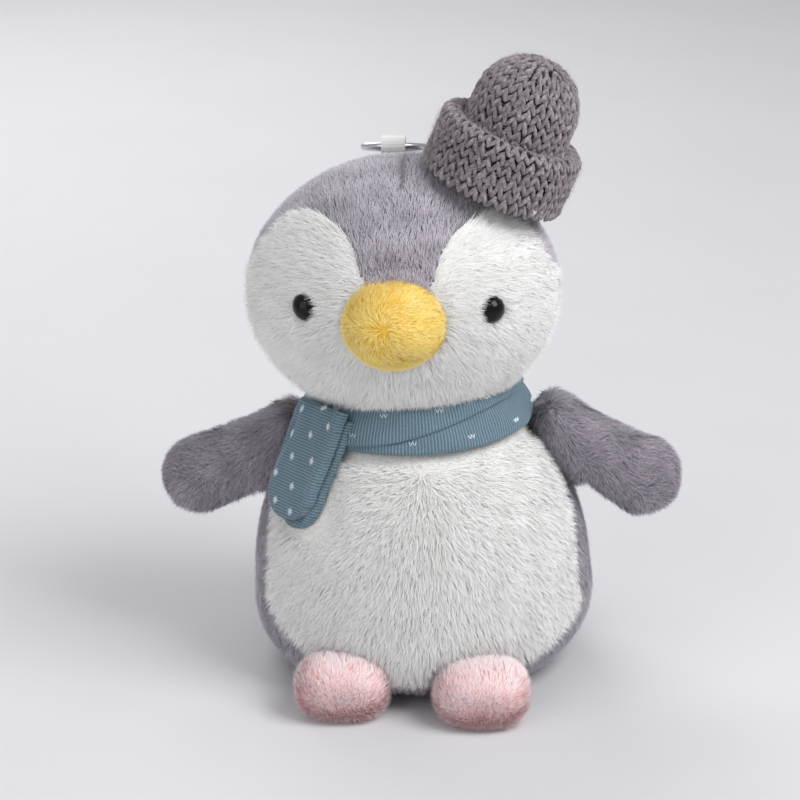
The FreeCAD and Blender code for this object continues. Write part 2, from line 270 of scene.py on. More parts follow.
AIM = (-2, 0, 65)
lamp("window", (420, -260, 560), AIM, 420, 4.3)
lamp("front_fill", (-420, -560, 300), AIM, 600, 1.5)
lamp("back_rim", (-260, 520, 420), AIM, 420, 2.0)
ROOM_LIGHT = 0.5
world = bpy.data.worlds.new("room")
world.use_nodes = True
background = world.node_tree.nodes["Background"]
background.inputs["Color"].default_value = (*card(238, 238, 241), 1)
background.inputs["Strength"].default_value = ROOM_LIGHT
bpy.context.scene.world = world
bpy.context.scene.view_settings.view_transform = "Standard"

# %% Camera
STAND_OFF, EYE_HEIGHT = 659, 297
BEARING, TURN, PITCH = math.radians(2.2), math.radians(2.78), math.radians(20)
camera_data = bpy.data.cameras.new("camera")
camera_data.lens = 150
camera_data.sensor_width = 36
camera = bpy.data.objects.new("camera", camera_data)
bpy.context.scene.collection.objects.link(camera)
camera.location = (
    STAND_OFF * math.sin(BEARING) * MM,
    -STAND_OFF * math.cos(BEARING) * MM,
    EYE_HEIGHT * MM,
)
camera.rotation_euler = (math.pi / 2 - PITCH, 0, TURN)
bpy.context.scene.camera = camera


# %% [markdown]
# ## Sewn and stuffed bags
#
# Head, body, arms, feet and beak are bags of fabric blown round by filling. Each
# starts as a copy of its CAD panels, fused by a remesh and drawn in a little.
# Cloth with an inner pressure then swells it, while the seams are held, so that
# every panel crowns between its seams. The bags are simulated ten times their
# size, where the solver is steady, and brought back after.

# %% Stuffing a bag
BIG = 10.0
STUFFING_FRAMES = 20
LOWEST = 0.15


def fused_copy(name, nodes, voxel):
    """One closed skin round copies of CAD nodes, ten times the size, in metres."""
    copies = []
    for node in nodes:
        copy = bpy.data.objects.new(name, NODES[node].data.copy())
        bpy.context.scene.collection.objects.link(copy)
        copies.append(copy)
    only(copies[0])
    for copy in copies:
        copy.select_set(True)
    if len(copies) > 1:
        bpy.ops.object.join()
    bag = bpy.context.view_layer.objects.active
    bag.data.materials.clear()
    bag.data.transform(Matrix.Scale(BIG, 4))
    bpy.ops.object.mode_set(mode="EDIT")
    bpy.ops.mesh.select_all(action="SELECT")
    bpy.ops.mesh.remove_doubles(threshold=0.0002)
    bpy.ops.object.mode_set(mode="OBJECT")
    bag.data.remesh_voxel_size = voxel * MM * BIG
    bpy.ops.object.voxel_remesh()
    return largest_part(bag, name)


def largest_part(bag, name):
    """Keeps the outer skin and drops any bubble left inside it."""
    only(bag)
    bpy.ops.object.mode_set(mode="EDIT")
    bpy.ops.mesh.select_all(action="SELECT")
    bpy.ops.mesh.separate(type="LOOSE")
    bpy.ops.object.mode_set(mode="OBJECT")
    parts = sorted(bpy.context.selected_objects, key=lambda o: len(o.data.vertices))
    for part in parts[:-1]:
        bpy.data.objects.remove(part)
    parts[-1].name = name
    parts[-1].data.name = name
    return parts[-1]


def corners_of(obj):
    """A mesh's vertices and their normals as arrays."""
    mesh = obj.data
    places = np.empty(len(mesh.vertices) * 3)
    normals = np.empty(len(mesh.vertices) * 3)
    mesh.vertices.foreach_get("co", places)
    mesh.vertices.foreach_get("normal", normals)
    return places.reshape(-1, 3), normals.reshape(-1, 3)


def set_corners(obj, places):
    """Moves a mesh's vertices."""
    obj.data.vertices.foreach_set("co", np.asarray(places, np.float32).ravel())
    obj.data.update()


def panel_numbers(points, nodes):
    """Which CAD panel each point in millimetres lies on."""
    reach = np.array([distances(tree_of(node), points) for node in nodes])
    return reach.argmin(0)


def seam_corners(bag, panels):
    """The vertices of a bag that lie along its seams."""
    places, _ = corners_of(bag)
    number = panel_numbers(places / MM / BIG, panels)
    edges = np.empty(len(bag.data.edges) * 2, np.int32)
    bag.data.edges.foreach_get("vertices", edges)
    edges = edges.reshape(-1, 2)
    split = edges[number[edges[:, 0]] != number[edges[:, 1]]]
    return np.unique(split)


def stuff(bag, panels, pressure, cap):
    """Swells the bag by Cloth, holding its seams; no point moves further than cap."""
    start, _ = corners_of(bag)
    seams = bag.vertex_groups.new(name="seams")
    if len(panels) > 1:
        seams.add([int(i) for i in seam_corners(bag, panels)], 1.0, "REPLACE")
    cloth = bag.modifiers.new("stuffing", "CLOTH")
    cloth.settings.quality = 4
    cloth.settings.vertex_group_mass = "seams"
    cloth.settings.use_pressure = True
    cloth.settings.uniform_pressure_force = pressure
    cloth.settings.effector_weights.gravity = 0
    cloth.collision_settings.use_collision = False
    for number in range(1, STUFFING_FRAMES + 1):
        bpy.context.scene.frame_set(number)
    only(bag)
    bpy.ops.object.modifier_apply(modifier=cloth.name)
    bpy.context.scene.frame_set(1)
    swollen, _ = corners_of(bag)
    move = swollen - start
    size = np.linalg.norm(move, axis=1, keepdims=True)
    move *= np.minimum(1, cap * MM * BIG / np.maximum(size, 1e-12))
    set_corners(bag, start + move)


def make_bag(name, nodes, panels, voxel, inset, pressure, cap, smooth=2, puff=0.0):
    """A padded piece round some CAD nodes, back at its real size and above the floor."""
    bag = fused_copy(name, nodes, voxel)
    places, normals = corners_of(bag)
    set_corners(bag, places - normals * inset * MM * BIG)
    stuff(bag, panels, pressure, cap)
    bag.data.transform(Matrix.Scale(1 / BIG, 4))
    only(bag)
    softer = bag.modifiers.new("soften", "SMOOTH")
    softer.iterations = smooth
    bpy.ops.object.modifier_apply(modifier=softer.name)
    places, normals = corners_of(bag)
    places = places + normals * puff * MM
    places[:, 2] = np.maximum(places[:, 2], LOWEST * MM)
    set_corners(bag, places)
    finer = bag.modifiers.new("finer", "SUBSURF")
    finer.levels = finer.render_levels = 1
    bpy.ops.object.modifier_apply(modifier=finer.name)
    bag.data.shade_smooth()
    print(name, len(bag.data.polygons), "faces")
    return bag


# %% Stretching a bag
def stretch(bag, centre, factors, step=(0, 0, 0)):
    """Scales a bag about a point and moves it a little; both in millimetres."""
    places, _ = corners_of(bag)
    middle_point = np.array(centre) * MM
    grown = (places - middle_point) * np.array(factors) + middle_point
    set_corners(bag, grown + np.array(step) * MM)


# %% Rounding, turning and creasing a bag
def round_off(bag, power):
    """Rounds a boxy bag towards an oval: the lower the power, the rounder."""
    places, _ = corners_of(bag)
    low, high = places.min(0), places.max(0)
    centre, half = (low + high) / 2, (high - low) / 2
    local = (places - centre) / half
    oval = (np.abs(local) ** power).sum(1) ** (1 / power)
    set_corners(bag, centre + local / oval[:, None] * half)


def turn(bag, centre, degrees):
    """Turns a bag about a line through a point, along Y."""
    places, _ = corners_of(bag)
    spin = np.array(Matrix.Rotation(math.radians(degrees), 3, "Y"))
    pivot = np.array(centre) * MM
    set_corners(bag, (places - pivot) @ spin.T + pivot)


def line_distance(points, line):
    """How far each point is from a chain of straight runs."""
    best = np.full(len(points), 1e9)
    for start, end in zip(line[:-1], line[1:]):
        start, run = np.array(start), np.array(end) - np.array(start)
        share = np.clip(((points - start) @ run) / (run @ run), 0, 1)
        best = np.minimum(best, np.linalg.norm(points - start - share[:, None] * run, axis=1))
    return best


def crease(bag, line, width, depth):
    """Draws a bag in along a seam."""
    places, normals = corners_of(bag)
    share = np.exp(-((line_distance(places / MM, line) / width) ** 2))
    set_corners(bag, places - normals * (share * depth * MM)[:, None])


# %% [markdown]
# ## The colours of the pile
#
# Dyed plush is never one colour: neighbouring fibres differ a little. The tones
# here are also painted darker at each fibre's root, as shade deep in the pile,
# and lighter at its tip, as painted light. So a pile has four plain tones, from
# root to tip, and the fabric it grows from has a mottled one.

# %% Pile tones and backing
def pile_tones(name, shades, sheen=0.25):
    """Four plain materials, from the root's tone, darkened as painted shade, to the lightest tip,
    brightened as painted light.
    """
    made = []
    for number, shade in enumerate(shades):
        finish = Finish(f"{name}_{number}", card(*shade), 0.85, Sheen_Weight=sheen)
        finish.shader.inputs["Specular IOR Level"].default_value = 0.25
        made.append(finish.material)
    return made


def backing(name, dark, light):
    """The ground of a pile fabric, mottled and finely grained."""
    finish = Finish(name, card(*light), 0.95)
    place = finish.place()
    mottle = finish.noise(place, 1.6, 4.0)
    finish.feed("Base Color", finish.ramp(mottle, [(0.35, card(*dark)), (0.65, card(*light))]))
    finish.relief(finish.noise(place, 5.0), 0.3, 0.6)
    return finish.material


WHITE = pile_tones("white_pile", [(228, 227, 224), (238, 237, 235), (243, 243, 241), (248, 248, 247)])
GREY = pile_tones("grey_pile", [(140, 134, 143), (172, 166, 175), (188, 182, 191), (205, 200, 208)])
YELLOW = pile_tones("yellow_pile", [(232, 186, 66), (246, 210, 90), (252, 224, 120), (254, 238, 168)])
PINK = pile_tones("pink_pile", [(246, 186, 180), (251, 226, 227), (254, 238, 240), (255, 245, 247)])
white_ground = backing("white_ground", (214, 212, 208), (234, 233, 230))
grey_ground = backing("grey_ground", (112, 106, 117), (138, 132, 143))
yellow_ground = backing("yellow_ground", (214, 166, 56), (238, 196, 84))
pink_ground = backing("pink_ground", (246, 204, 202), (251, 226, 226))


# %% [markdown]
# ## Planting a pile
#
# Blender's hair is lost when a model is exported, and a round hair has far more
# faces than the toy can carry. So each fibre is a bent blade of three triangles,
# planted in mesh code. Fibres lean along the brushed direction of their panel,
# keep together in small tufts, and are pressed short where something lies on them.

# %% Planting fibres
ROOT_DEPTH = 0.25
FIBRE_FLOOR = 0.25
SHORTEST = 0.12
TUFT_SIZE, TUFTS = 1.1, 4096
TUFT_KEY = np.array([73856093, 19349663, 83492791])


def ripple(points, size, seed):
    """A smooth random vector for each point: waves about size millimetres long."""
    rng = np.random.default_rng(seed)
    total = np.zeros(points.shape)
    for _ in range(7):
        wave = unit(rng.normal(size=3)) * 2 * math.pi / (size * rng.uniform(0.7, 1.5))
        total += np.sin(points @ wave + rng.uniform(0, 6.28))[:, None] * rng.normal(size=3)
    return total / math.sqrt(7)


def scatter(cover, faces, density, seed):
    """Roots and normals, in millimetres, spread evenly over some of a cover's faces."""
    mesh = cover.data
    mesh.calc_loop_triangles()
    count = len(mesh.loop_triangles)
    corners = np.empty(count * 3, np.int32)
    owner = np.empty(count, np.int32)
    mesh.loop_triangles.foreach_get("vertices", corners)
    mesh.loop_triangles.foreach_get("polygon_index", owner)
    corners = corners.reshape(-1, 3)[faces[owner]]
    places, normals = corners_of(cover)
    places = places / MM
    a, b, c = places[corners[:, 0]], places[corners[:, 1]], places[corners[:, 2]]
    area = np.linalg.norm(np.cross(b - a, c - a), axis=1) / 2
    rng = np.random.default_rng(seed)
    number = int(area.sum() * density)
    pick = rng.choice(len(area), number, p=area / area.sum())
    u, v = rng.random(number), rng.random(number)
    u, v = np.where(u + v > 1, 1 - u, u), np.where(u + v > 1, 1 - v, v)
    w = 1 - u - v
    share = np.stack([w, u, v], 1)[:, :, None]
    roots = (places[corners[pick]] * share).sum(1)
    ups = unit((normals[corners[pick]] * share).sum(1))
    return roots, ups


def shortening(roots, keep_off):
    """How much of its length each fibre keeps beside the CAD nodes that press it."""
    keep = np.ones(len(roots))
    for node, (bare, free) in keep_off.items():
        far = distances(tree_of(node), roots)
        keep = np.minimum(keep, np.clip((far - bare) / (free - bare), 0, 1))
    return keep


def blades(name, roots, ups, lean, length, rise, width, tones, pick, seed):
    """The fibres as one mesh: two faces each, a root blade and a tip."""
    rng = np.random.default_rng(seed)
    number = len(roots)
    low, high = np.radians(rise[0]), np.radians(rise[1])
    start = ups * np.sin(low) + lean * np.cos(low)
    end = unit(ups * np.sin(high) + lean * np.cos(high) + rng.normal(size=(number, 3)) * 0.13)
    foot = roots - ups * ROOT_DEPTH
    bend = foot + start * (length * 0.5 + ROOT_DEPTH)[:, None]
    tip = bend + end * (length * 0.55)[:, None]
    side = unit(np.cross(start, ups) + rng.normal(size=(number, 3)) * 0.15)
    half = side * (width * rng.uniform(0.8, 1.25, number))[:, None] / 2
    points = np.stack([foot - half, foot + half, bend + half * 0.8, bend - half * 0.8, tip], 1)
    points = points.reshape(-1, 3)
    points[:, 2] = np.maximum(points[:, 2], FIBRE_FLOOR)
    order = np.array([0, 1, 2, 3, 3, 2, 4])
    loops = (np.arange(number)[:, None] * 5 + order).ravel()
    mesh = bpy.data.meshes.new(name)
    mesh.vertices.add(number * 5)
    mesh.vertices.foreach_set("co", (points * MM).astype(np.float32).ravel())
    mesh.loops.add(number * 7)
    mesh.loops.foreach_set("vertex_index", loops.astype(np.int32))
    mesh.polygons.add(number * 2)
    starts = (np.arange(number)[:, None] * 7 + np.array([0, 4])).ravel()
    mesh.polygons.foreach_set("loop_start", starts.astype(np.int32))
    mesh.update(calc_edges=True)
    for tone in tones:
        mesh.materials.append(tone)
    mesh.polygons.foreach_set("material_index", pick.astype(np.int32).ravel())
    mesh.shade_smooth()
    face = unit(np.cross(start, side) * np.sign((np.cross(start, side) * ups).sum(1))[:, None])
    soft = unit(ups * 0.8 + face * 0.2 + rng.normal(size=(number, 3)) * 0.05)
    mesh.normals_split_custom_set_from_vertices(np.repeat(soft, 5, 0))
    obj = bpy.data.objects.new(name, mesh)
    bpy.context.scene.collection.objects.link(obj)
    return obj


def plant(name, cover, faces, body, tones, lay, density, length, rise, seed, swirl,
          width=0.105, keep_off=None, tone_shift=None, seams=()):
    """A pile on some faces of a cover, brushed as lay says.

    Density is in fibres per square millimetre, rise holds a fibre's two angles over
    the cloth in degrees, and swirl is how much the brushed direction wanders.
    """
    roots, ups = scatter(cover, faces, density, seed)
    keep = shortening(roots, keep_off or {})
    # Fibres beside a seam are kept shorter and take darker tones: painted shade in the seam's crease.
    seam_pinch_and_shade = np.zeros(len(roots))
    for line, wide, _ in seams:
        seam_pinch_and_shade = np.maximum(seam_pinch_and_shade, np.exp(-((line_distance(roots, line) / wide) ** 2)))
    keep = keep * (1 - 0.45 * seam_pinch_and_shade)
    stay = keep > SHORTEST
    roots, ups, seam_pinch_and_shade, keep = roots[stay], ups[stay], seam_pinch_and_shade[stay], keep[stay]
    rng = np.random.default_rng(seed + 100)
    tuft = (np.floor(roots / TUFT_SIZE).astype(int) @ TUFT_KEY) % TUFTS
    tuft_way = rng.normal(size=(TUFTS, 3))[tuft]
    way = unit(lay(roots, ups)) + ripple(roots, 9.0, seed) * swirl
    way = way + tuft_way * 0.12 + rng.normal(size=roots.shape) * 0.18
    way = unit(way - ups * (way * ups).sum(1, keepdims=True))
    size = length * keep * rng.uniform(0.72, 1.12, len(roots))
    shade = ripple(roots, 6.0, seed + 5)[:, 0] * 0.5 + rng.normal(size=len(roots)) * 0.75
    # Painted shade: fibres beside a seam take darker tones.
    shade = shade - 2.2 * seam_pinch_and_shade
    if tone_shift is not None:
        shade = shade + tone_shift(roots, ups)
    # A fibre's root face takes a darker tone than its tip: painted shade low in the pile and painted
    # light at the tips.
    tip = np.clip(np.round(2.1 + shade), np.where(shade < -2.2, 0, 1), 3)
    root = np.clip(tip - 1 - (rng.random(len(roots)) < 0.35), 0, 2)
    pick = np.stack([root, tip], 1)
    pile = blades(name, roots, ups, way, size, rise, width, tones, pick, seed + 200)
    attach(pile, body)
    print(name, len(roots), "fibres")


# %% Panels, lays and shades
def face_centres(cover):
    """The middle of each face of a cover, in millimetres."""
    places = np.empty(len(cover.data.polygons) * 3)
    cover.data.polygons.foreach_get("center", places)
    return places.reshape(-1, 3) / MM


def faces_on(cover, panels):
    """For each face of a cover, the number of the panel it lies on."""
    return panel_numbers(face_centres(cover), panels)


def all_one_way(way):
    """A lay that is brushed the same way everywhere."""
    return lambda roots, ups: np.tile(way, (len(roots), 1))


def darker(amount):
    """The same shift to darker tones everywhere."""
    return lambda roots, ups: np.full(len(roots), -amount)


def two_grounds(cover, part):
    """Gives a cover a white ground under its first two panels and a grey one elsewhere."""
    for finish in (white_ground, grey_ground):
        cover.data.materials.append(finish)
    cover.data.polygons.foreach_set("material_index", (part > 1).astype(np.int32))


# %% [markdown]
# ## Head
#
# The head is one bag of five panels: two white face panels, a grey forehead that
# runs down to the beak, and two grey back panels. The white pile is long and is
# brushed away from the beak. The grey one is short, and is brushed up from the
# beak and back over the crown, so that its lit side shows from the front.

# %% Head bag
HEAD_PANELS = ["face_right", "face_left", "forehead_panel", "head_back_right", "head_back_left"]
head_centre = middle("head_filling")
beak_centre = middle("beak_filling")
print("head centre", head_centre.round(1), "beak centre", beak_centre.round(1))
head = make_bag("head_cover", HEAD_PANELS + ["head_filling"], HEAD_PANELS, 1.5, 0.6, 5.0, 1.2, puff=0.4)
stretch(head, head_centre, (1.012, 1.0, 1.025), (0, 0, -0.6))
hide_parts(*HEAD_PANELS, "head_filling")
# A seam's points, then how wide and how deep it draws the bag in:
# the crown's dart, the notch where forehead and back panel meet, and the chin.
# The pile within a seam's width is also given darker tones: painted shade in the crease.
HEAD_SEAMS = [
    ([(-6.4, -2, 110.5), (-6.0, -9, 108.8), (-5.6, -14.5, 105.5)], 0.75, 1.3),
    ([(-33.0, -9, 99.5), (-36.5, -6, 94.5)], 1.3, 1.3),
    ([(-5.3, -27, 67.0), (-5.2, -22, 62.5)], 0.7, 0.9),
]
for seam, wide, deep in HEAD_SEAMS:
    crease(head, seam, wide, deep)
head_part = faces_on(head, HEAD_PANELS)
# The face patches' upper edge: the distance from the middle, and the height there.
PATCH_EDGE = ([7.0, 8.6, 10.4, 12.6, 17.0, 21.0, 25.0, 28.0, 31.0, 33.0],
              [92.0, 96.6, 99.2, 100.8, 101.9, 100.6, 97.0, 92.8, 87.5, 82.0])
# The forehead's point: heights, and its half width at each.
POINT_HALF = ([90, 100], [6.4, 8.3])


def draw_patches(cover, part):
    """Gives the two face patches their round shoulders beside the forehead's point."""
    spots = face_centres(cover)
    off = np.abs(spots[:, 0] - head_centre[0])
    upper = (spots[:, 2] > 88) & (spots[:, 1] < -7.5)
    beside = off > np.interp(spots[:, 2], *POINT_HALF)
    white = beside & (spots[:, 2] < np.interp(off, *PATCH_EDGE))
    side = np.where(spots[:, 0] < head_centre[0], 0, 1)
    return np.where(upper, np.where(white, side, 2), part)


head_part = draw_patches(head, head_part)
two_grounds(head, head_part)
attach(head, "head")

# %% Head pile
def away_from_beak(roots, ups):
    """White pile of the face: outwards from the beak, and a little down."""
    way = roots - beak_centre
    way[:, 1] = 0
    return unit(way) + np.array([0, 0, -0.25])


def over_the_head(roots, ups):
    """Grey pile: up from the beak, back over the crown and down behind it."""
    off = roots - head_centre
    return np.stack([off[:, 0] * 0, off[:, 2] + 5, -off[:, 1] - 3], -1)


def dart_shade(roots, ups):
    """Darker fibres along the short dart at the middle of the crown: painted shade in the dart's crease.
    """
    near = np.exp(-((roots[:, 0] - head_centre[0] - 0.4) / 0.55) ** 2)
    return -4.0 * near * ((roots[:, 1] > -15.5) & (roots[:, 1] < -1))


# Where a CAD node presses the pile: bare up to the first distance, free from the second.
HEAD_PRESS = {"hat_cuff": (0.3, 1.6), "beak_upper": (-0.2, 1.0), "beak_lower": (-0.2, 1.0)}
EYE_PRESS = {"eye_right": (0.25, 0.9), "eye_left": (0.25, 0.9)}
SCARF_PRESS = {"scarf_band": (0.1, 1.2)}
for number, panel in enumerate(HEAD_PANELS):
    on_it = head_part == number
    if number < 2:
        plant("pile_" + panel, head, on_it, "head", WHITE, away_from_beak,
              density=21.5, length=3.1, rise=(58, 32), seed=11 + number, swirl=0.16, width=0.11,
              seams=HEAD_SEAMS, keep_off={**HEAD_PRESS, **EYE_PRESS, **SCARF_PRESS})
    else:
        density, width = (15.5, 0.125) if panel == "forehead_panel" else (12.8, 0.135)
        plant("pile_" + panel, head, on_it, "head", GREY, over_the_head,
              density=density, length=2.3, rise=(34, 13), seed=11 + number, swirl=0.12, width=width,
              seams=HEAD_SEAMS, keep_off={**HEAD_PRESS, **SCARF_PRESS, "hang_ribbon": (0.2, 0.8)},
              tone_shift=dart_shade)

# %% [markdown]
# ## Body
#
# The body is a squat bag: two white belly panels, two grey back panels and a
# flat grey base. The belly pile is brushed outwards and down from the throat, and
# the grey one straight down. The base has a short thin pile, as it is seldom seen.

# %% Body bag and pile
BODY_PANELS = ["belly_right", "belly_left", "body_back_right", "body_back_left", "base_panel"]
body_centre = middle("body_filling")
body = make_bag("body_cover", BODY_PANELS + ["body_filling"], BODY_PANELS, 1.6, 0.6, 5.0, 1.2, puff=0.3)
stretch(body, body_centre, (1.025, 1.0, 1.0), (-0.8, 0, 0))
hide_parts(*BODY_PANELS, "body_filling")
BELLY_SEAM = [(-1.5, -27, 51), (-1, -33, 36), (-0.5, -35.5, 20), (0, -33, 8)]
crease(body, BELLY_SEAM, 0.7, 0.35)
body_part = faces_on(body, BODY_PANELS)


# The belly's side edges: heights, and the bearing from the front at each.
BELLY_EDGE = ([0, 28, 40, 48, 60], [65, 66, 74, 86, 92])


def draw_belly(cover, part):
    """Gives the white belly wide shoulders and round lower corners."""
    spots = face_centres(cover)
    bearing = np.degrees(np.arctan2(np.abs(spots[:, 0] + spots[:, 2] * 0.05), -spots[:, 1]))
    bearing = bearing + np.where(spots[:, 0] < 0, 4, 0)
    limit = np.interp(spots[:, 2], *BELLY_EDGE)
    floor_line = 8.0 + 11.0 * (bearing / 66) ** 2.6
    white = (bearing < limit) & (spots[:, 2] > floor_line)
    side = np.where(spots[:, 0] < -1, 0, 1)
    grey = np.where(part < 2, part + 2, part)
    return np.where(white, side, grey)


body_part = draw_belly(body, body_part)
two_grounds(body, body_part)
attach(body, "body")
THROAT = np.array([body_centre[0], 0, 50.0])


def down_the_belly(roots, ups):
    """White belly pile: out from the throat and down."""
    way = roots - THROAT
    way[:, 1] = 0
    return unit(way) + np.array([0, 0, -0.35])


BODY_PRESS = {
    "scarf_band": (0.2, 2.2), "scarf_end_front": (0.3, 3.0), "scarf_end_back": (0.3, 3.0),
    "foot_top_right": (-0.2, 0.9), "foot_top_left": (-0.2, 0.9),
    "arm_back_right": (-0.3, 0.8), "arm_back_left": (-0.3, 0.8),
    "arm_front_right": (-0.3, 0.8), "arm_front_left": (-0.3, 0.8),
}
for number, panel in enumerate(BODY_PANELS):
    on_it = body_part == number
    if number < 2:
        plant("pile_" + panel, body, on_it, "body", WHITE, down_the_belly,
              density=18.2, length=3.0, rise=(54, 28), seed=31 + number, swirl=0.14, width=0.115,
              keep_off=BODY_PRESS)
    else:
        density, length = (6, 1.0) if panel == "base_panel" else (10.1, 2.4)
        plant("pile_" + panel, body, on_it, "body", GREY, all_one_way([0, 0.1, -1.0]),
              density=density, length=length, rise=(34, 13), seed=31 + number, swirl=0.15,
              width=0.15, keep_off=BODY_PRESS, tone_shift=darker(1.2))

# %% [markdown]
# ## Neck
#
# Under the scarf a ball of filling joins the two bags. It only shows as a dark
# gap when the head nods.

# %% Neck ball
neck = make_bag("neck_padding", ["neck_filling"], ["neck_filling"], 1.2, 0.4, 3.0, 0.3)
neck.data.materials.append(grey_ground)
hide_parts("neck_filling")
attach(neck, "neck")

# %% [markdown]
# ## Beak
#
# The beak is a small stuffed nub in two halves, in a dense yellow pile that is
# brushed out from a point beside its tip and over to one side.

# %% Beak
BEAK_PANELS = ["beak_upper", "beak_lower"]
beak = make_bag("beak_cover", BEAK_PANELS + ["beak_filling"], BEAK_PANELS, 0.8, 0.4, 5.0, 0.6, smooth=8)
stretch(beak, beak_centre, (1.17, 1.0, 1.02), (-0.8, 0, -2.5))
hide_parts(*BEAK_PANELS, "beak_filling")
beak.data.materials.append(yellow_ground)
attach(beak, "head")


def along_the_beak(roots, ups):
    """Yellow pile: out from a point beside the tip, drawn over to one side."""
    way = roots - beak_centre + np.array([2.0, 0, 0.5])
    way[:, 1] = 0
    return unit(way) * 0.9 + np.array([0.7, 0.2, 0])


beak_part = faces_on(beak, BEAK_PANELS)
for number, panel in enumerate(BEAK_PANELS):
    plant("pile_" + panel, beak, beak_part == number, "head", YELLOW,
          along_the_beak, density=32, length=1.9, rise=(46, 20), seed=51 + number, swirl=0.3,
          width=0.11)

# %% [markdown]
# ## Arms and feet
#
# The flippers are flat bags of short grey pile, brushed out to their tips. The
# feet are round pink bags, painted a darker coral beside the body as shade in
# the crease where they are sewn on.

# %% Flippers
SHOULDER = {"right": (-32.5, 0, 48.5), "left": (31.5, 0, 47.5)}
EXTRA_DROOP = {"right": -5.0, "left": 0.0}


def shape_arm(arm, side):
    """Lets a flipper hang as it should and widens it into the shoulder."""
    turn(arm, SHOULDER[side], EXTRA_DROOP[side])
    places, _ = corners_of(arm)
    local = places / MM - np.array(SHOULDER[side])
    out = np.abs(local[:, 0]) * np.where(local[:, 0] * SHOULDER[side][0] > 0, 1, -1)
    root = np.clip(1 - out / 13, 0, 1) ** 1.5
    local[:, 2] = local[:, 2] * (1 + 0.3 * root) + 1.6 * root
    local[:, 1] = local[:, 1] * (1 + 0.35 * root)
    local[:, 0] = local[:, 0] - np.sign(SHOULDER[side][0]) * root * 2.2
    set_corners(arm, (local + np.array(SHOULDER[side])) * MM)


for side in ("right", "left"):
    panels = ["arm_front_" + side, "arm_back_" + side]
    arm = make_bag("arm_cover_" + side, panels + ["arm_filling_" + side], panels, 0.9, 0.2, 5.0, 1.2,
                   smooth=16, puff=0.8)
    shape_arm(arm, side)
    arm.data.materials.append(grey_ground)
    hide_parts(*panels, "arm_filling_" + side)
    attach(arm, side + "_arm")
    outward = all_one_way([-1.0 if side == "right" else 1.0, 0.1, -0.85])
    part = faces_on(arm, panels)
    for number, panel in enumerate(panels):
        plant("pile_" + panel, arm, part == number, side + "_arm", GREY,
              outward, density=19, length=2.4, rise=(38, 16), swirl=0.75,
              seed=61 + number + 5 * (side == "left"), tone_shift=darker(1.9))

# %% Feet
for side in ("right", "left"):
    panels = ["foot_top_" + side, "foot_sole_" + side]
    foot = make_bag("foot_cover_" + side, panels + ["foot_filling_" + side], panels, 0.8, 0.6, 5.0, 1.2,
                    smooth=6, puff=0.5)
    round_off(foot, 2.5)
    foot.data.materials.append(pink_ground)
    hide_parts(*panels, "foot_filling_" + side)
    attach(foot, side + "_foot")
    heel = middle("foot_top_" + side) + np.array([0, 6, 2])

    def back_from_the_toe(roots, ups):
        """Pink pile: up from the toe and back over the foot."""
        off = roots - heel
        return np.stack([off[:, 0] * 0.15, off[:, 2] + 5, 2 - off[:, 1]], -1)

    def shade_by_the_body_seam(roots, ups):
        """The darkest tone, a coral, only beside the body: painted shade in the crease where the foot is
        sewn on.
        """
        return -3.5 * np.clip((roots[:, 1] - heel[1] + 0.5) / 3, 0, 1)

    part = faces_on(foot, panels)
    for number, (panel, density, length) in enumerate(zip(panels, (24, 10), (2.2, 0.9))):
        plant("pile_" + panel, foot, part == number, side + "_foot", PINK,
              back_from_the_toe, density=density, length=length, rise=(60, 36), swirl=0.3,
              seed=71 + number + 5 * (side == "left"), tone_shift=shade_by_the_body_seam)

# %% [markdown]
# ## Scarf
#
# The scarf is a strip of fine jersey with small white marks, wound twice round
# the neck. It is modelled as two flattened rings, of which the upper laps over
# the lower along a slanting line, with two puffed tongues for its ends. The rings
# are made by mesh code, because Blender's own ring can't narrow along a slanting
# line. The knit is drawn from a UV map in millimetres, so that its ribs follow
# the cloth, and each mark is a few small raised stitches.

# %% Jersey finish
RIB, COURSE = 0.62, 0.5


def jersey(name, rib_axis):
    """Fine ribs with small slanted stitches, in two blues: the darker lies in the low grooves of the
    relief, as painted shade, and flecks vary it at random.
    """
    finish = Finish(name, card(92, 118, 132), 0.9, Sheen_Weight=0.2)
    place = finish.place("UV")
    around = finish.node("ShaderNodeSeparateXYZ", None, {0: place}, out=rib_axis)
    along = finish.node("ShaderNodeSeparateXYZ", None, {0: place}, out=1 - rib_axis)
    lean = (along * (2 * math.pi / COURSE)).sine() * 0.9
    drift = finish.noise(place, 0.5, 2.0) * 2.4
    rib = (around * (2 * math.pi / RIB) + lean + drift).sine() * 0.5 + 0.5
    fleck = finish.noise(place, 2.2, 3.0)
    shade = rib * 0.5 + fleck * 0.5
    stops = [(0.22, card(70, 92, 105)), (0.5, card(89, 113, 126)), (0.78, card(120, 144, 155))]
    # The low parts of the relief get the darker blue: painted shade in the grooves.
    finish.feed("Base Color", finish.ramp(shade, stops))
    finish.relief(shade, 0.1, 0.6)
    return finish.material


band_jersey = jersey("band_jersey", 0)
tail_jersey = jersey("tail_jersey", 1)
mark_finish = Finish("white_marks", card(206, 216, 222), 0.85, Sheen_Weight=0.3)
mark_finish.feed("Roughness", mark_finish.noise(mark_finish.place(), 3.0) * 0.2 + 0.75)


def give_uv(obj, across, down):
    """A UV map in millimetres from one pair of numbers per vertex."""
    layer = obj.data.uv_layers.new(name="cloth")
    corner = np.empty(len(obj.data.loops), np.int32)
    obj.data.loops.foreach_get("vertex_index", corner)
    layer.data.foreach_set("uv", np.stack([across[corner], down[corner]], 1).astype(np.float32).ravel())


